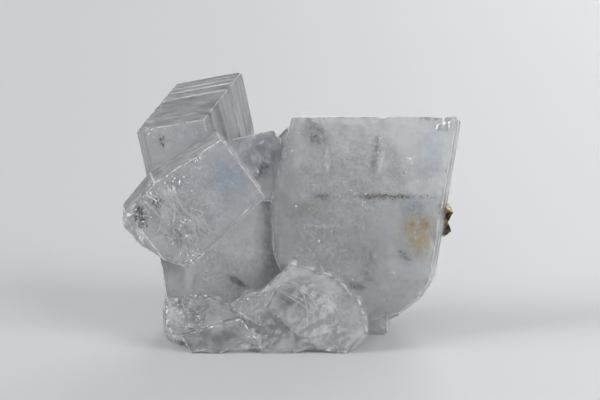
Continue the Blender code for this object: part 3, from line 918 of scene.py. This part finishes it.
darkGroups = (
    chips(bigPlate, (4.6, 0.85), (4.6, 0.8), (0.14, 0.44), 110, depth=(0, 0.4)),
    chips(bigPlate, (10.4, 1.1), (3.4, 0.7), (0.14, 0.38), 70, depth=(0, 0.4)),
    chips(bigPlate, (1, 0.8), (1.8, 0.8), (0.16, 0.48), 44, depth=(0, 0.4)),
    chips(bigPlate, (-8.4, 0.6), (1.8, 0.7), (0.16, 0.44), 34, depth=(0, 0.4)),
    chips(bigPlate, (11.5, -5.2), (3, 3.2), (0.09, 0.20), 50, depth=(0.1, 0.6)),
    chips(bigPlate, (0, 0), (20, 22), (0.08, 0.18), 60, depth=(0.1, 1.2)),
    chips(greyPlate, (2, 0), (9, 8), (0.14, 0.30), 46, depth=(0, 0.15)),
    chips(lowerFront, (0, 0), (9, 8), (0.08, 0.18), 34, depth=(0.1, 0.8)))
crackGroups = (
    chips(frontBlock, (-11.4, -3), (1.5, 2.8), (0.12, 0.26), 46, depth=(0.2, 0.7), tall=3.4,
        turns=(0.2, 0.2, 0.5)),
    chips(frontBlock, (-8.4, -0.6), (1.1, 1.1), (0.10, 0.22), 16, depth=(0.2, 0.6), tall=2.4,
        turns=(0.2, 0.2, 0.6)),
    chips(tallBlock, (-10.6, -5.6), (0.9, 1.6), (0.14, 0.26), 14, depth=(0.1, 0.5), tall=3,
        turns=(0.2, 0.2, 0.5)))
paintedGlintGroups = (
    chips(frontBlock, (-5, 4), (7, 1.4), (0.14, 0.40), 36),
    chips(frontBlock, (-0.5, 8.6), (1.6, 1.4), (0.2, 0.7), 12, tall=2),
    chips(frontBlock, (-1.2, -11.8), (2, 1.8), (0.15, 0.5), 30),
    chips(frontBlock, (-11, -3), (2.6, 3), (0.10, 0.28), 34),
    chips(frontBlock, (0, 0), (15, 14), (0.12, 0.34), 60),
    chips(tallBlock, (-13.4, -2.6), (3, 1.6), (0.14, 0.44), 30),
    chips(tallBlock, (-5, -3), (5, 1.2), (0.10, 0.26), 14, tall=3, turns=(0.3, 0.3, 0.2)),
    chips(bigPlate, (-0.3, -0.6), (0.8, 0.8), (0.18, 0.48), 14),
    chips(bigPlate, (9.2, 8.2), (1.4, 1.6), (0.20, 0.56), 26),
    chips(bigPlate, (-0.2, -6.2), (0.6, 2.8), (0.18, 0.44), 14),
    chips(bigPlate, (1, 15.3), (1.2, 1.4), (0.12, 0.40), 14),
    chips(bigPlate, (-14, -12.8), (1, 0.9), (0.12, 0.36), 16),
    chips(bigPlate, (15.4, 15.6), (1.5, 1.1), (0.2, 0.8), 16, tall=1.6),
    chips(bigPlate, (0, 0), (22, 24), (0.22, 0.60), 70),
    chips(greyPlate, (-6, -2.2), (1.4, 2.4), (0.10, 0.36), 34),
    chips(footLeft, (-3, -2), (4.6, 2.6), (0.08, 0.24), 80),
    chips(footLeft, (1.4, 0.9), (3, 0.8), (0.06, 0.20), 26),
    chips(footLeft, (4.4, -3.2), (2, 0.8), (0.12, 0.4), 20),
    chips(footMiddle, (1.6, 1), (3, 1.6), (0.08, 0.26), 24),
    chips(lowerFront, (0, 0), (9, 9), (0.14, 0.34), 40),
    chips(backPlate, (0, 0), (12, 14), (0.10, 0.34), 60),
    chips(backLeft, (0, 0), (11, 12), (0.10, 0.34), 60))
# Pyrite dust in a growth zone: olive-brown grains, dull because they are so fine.
scatterChips("inclusionSpecks", darkGroups,
        speckledFinish("pyriteDustOlive", grainLook(0.6, "#45412F", "#857C5A", 0.45)), 0.7)
# Open cracks at the broken corners: narrow gaps that light doesn't come back from.
scatterChips("openCracks", crackGroups,
        speckledFinish("openCrackShadowDark", grainLook(0.5, "#1D1F23", "#40444A", 0.5)), 0.5)
# Cleavage flakes with an air gap, painted white: painted glints for the light that an air gap sends back.
scatterChips("cleavageFlakes", paintedGlintGroups,
        speckledFinish("cleavageFlakePaintedGlint", grainLook(0.4, "#E6EAEE", "#FFFFFF", 0.15)),
        0.12)
print("specks and flakes sealed in")

pyriteCubes = (    # middle and edge in mm, turns in degrees
    ((30.3, 9.0, 24.3), 4.2, (18, 24, 12)),
    ((31.2, 9.6, 20.9), 2.4, (52, 8, 38)),
    ((29.0, 10.6, 21.4), 3.6, (8, 40, 61)),
    ((27.6, 12.0, 24.6), 3.6, (33, 12, 20)),
    ((30.0, 11.2, 26.4), 2.4, (14, 51, 5)))
pyriteCube = dict(rounded=0.22, cuts=5, pitMm=0.7, pit=0.28)    # mm, but for cuts
# Weathered pyrite: brassy metal with patches of olive-brown tarnish that dull it.
pyriteLook = dict(
    grainMm=1.1, detail=5.0, colours=((0.44, "#3A3426"), (0.58, "#8A7748")), rough=(0.4, 0.6, 0.55, 0.25),
    bump=0.4, bumpMm=0.08, shader={"Metallic": 1.0})
pyriteFinish = speckledFinish("weatheredPyriteMetallic", pyriteLook)


def buildCube(name, at, edge, tilt):
    bm = bmesh.new()
    bmesh.ops.create_cube(bm, size=edge * mm)
    roundEdges(bm, pyriteCube["rounded"])
    bmesh.ops.triangulate(bm, faces=bm.faces[:])
    bmesh.ops.subdivide_edges(bm, edges=bm.edges[:], cuts=pyriteCube["cuts"], use_grid_fill=True)
    bm.normal_update()
    for vert in bm.verts:
        pits = noise.noise(vert.co / (pyriteCube["pitMm"] * mm) + Vector(tilt))
        vert.co -= vert.normal * max(0.0, pits) * pyriteCube["pit"] * mm
    spin = spun([math.radians(angle) for angle in tilt])
    bm.transform(Matrix.Translation(fromMiddle(at)) @ spin)
    return addPiece(name, bm, pyriteFinish, smooth=False)


cubes = [buildCube("grain%d" % number, *cube) for number, cube in enumerate(pyriteCubes)]
knot = joinSolids("pyriteGrains", cubes)
knot.data.shade_smooth()
knot.data.set_sharp_from_angle(angle=math.radians(35))
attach(knot, "root")
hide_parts("pyrite_knot")
print("pyrite joined:", len(knot.data.polygons), "faces")

# The floor's half side in m and its drop in mm.  suns: name, tilt and turn in degrees, power.
studio = dict(
    floor="#D6D7D9", floorHalf=6.0, floorDrop=0.01, air="#E6E8EB", airLight=0.40, softness=36,
    suns=(("leftSoft", 66, -73, 1.70), ("rightSoft", 66, 45, 1.52), ("frontSoft", 66, -6, 0.60),
        ("backSoft", 68, 160, 0.80)))
view = dict(aim=(0.0010, -0.0060, 0.0283), elevation=8.0, distance=0.360, lens=108.0, sensor=36.0)


def buildFloor():
    bm = bmesh.new()
    bmesh.ops.create_grid(bm, x_segments=1, y_segments=1, size=studio["floorHalf"])
    bmesh.ops.translate(bm, vec=(0, 0, -studio["floorDrop"] * mm), verts=bm.verts)
    material, tree = newMaterial("paleFloorMatte")
    shader = addNode(tree, "BsdfPrincipled", {"Base Color": toLinear(studio["floor"]), "Roughness": 0.6})
    addNode(tree, "OutputMaterial", links={"Surface": shader})
    addPiece("floor", bm, material, smooth=False)


buildFloor()
for name, tilt, turn, power in studio["suns"]:
    lamp = bpy.data.lights.new(name, "SUN")
    lamp.energy = power
    lamp.angle = math.radians(studio["softness"])
    body = bpy.data.objects.new(name, lamp)
    scene.collection.objects.link(body)
    body.rotation_euler = (math.radians(tilt), 0, math.radians(turn))
world = bpy.data.worlds.new("softStudio")
world.use_nodes = True
air = world.node_tree.nodes["Background"].inputs
air["Color"].default_value = toLinear(studio["air"])
air["Strength"].default_value = studio["airLight"]
scene.world = world

lens = bpy.data.cameras.new("camera")
lens.lens = view["lens"]
lens.sensor_width = view["sensor"]
camera = bpy.data.objects.new("camera", lens)
scene.collection.objects.link(camera)
elevation = math.radians(view["elevation"])
back = Vector((0, math.cos(elevation), -math.sin(elevation))) * view["distance"]
camera.location = Vector(view["aim"]) - back
camera.rotation_euler = (math.radians(90.0) - elevation, 0, 0)
scene.camera = camera
scene.view_settings.view_transform = "Standard"
print("stage set")
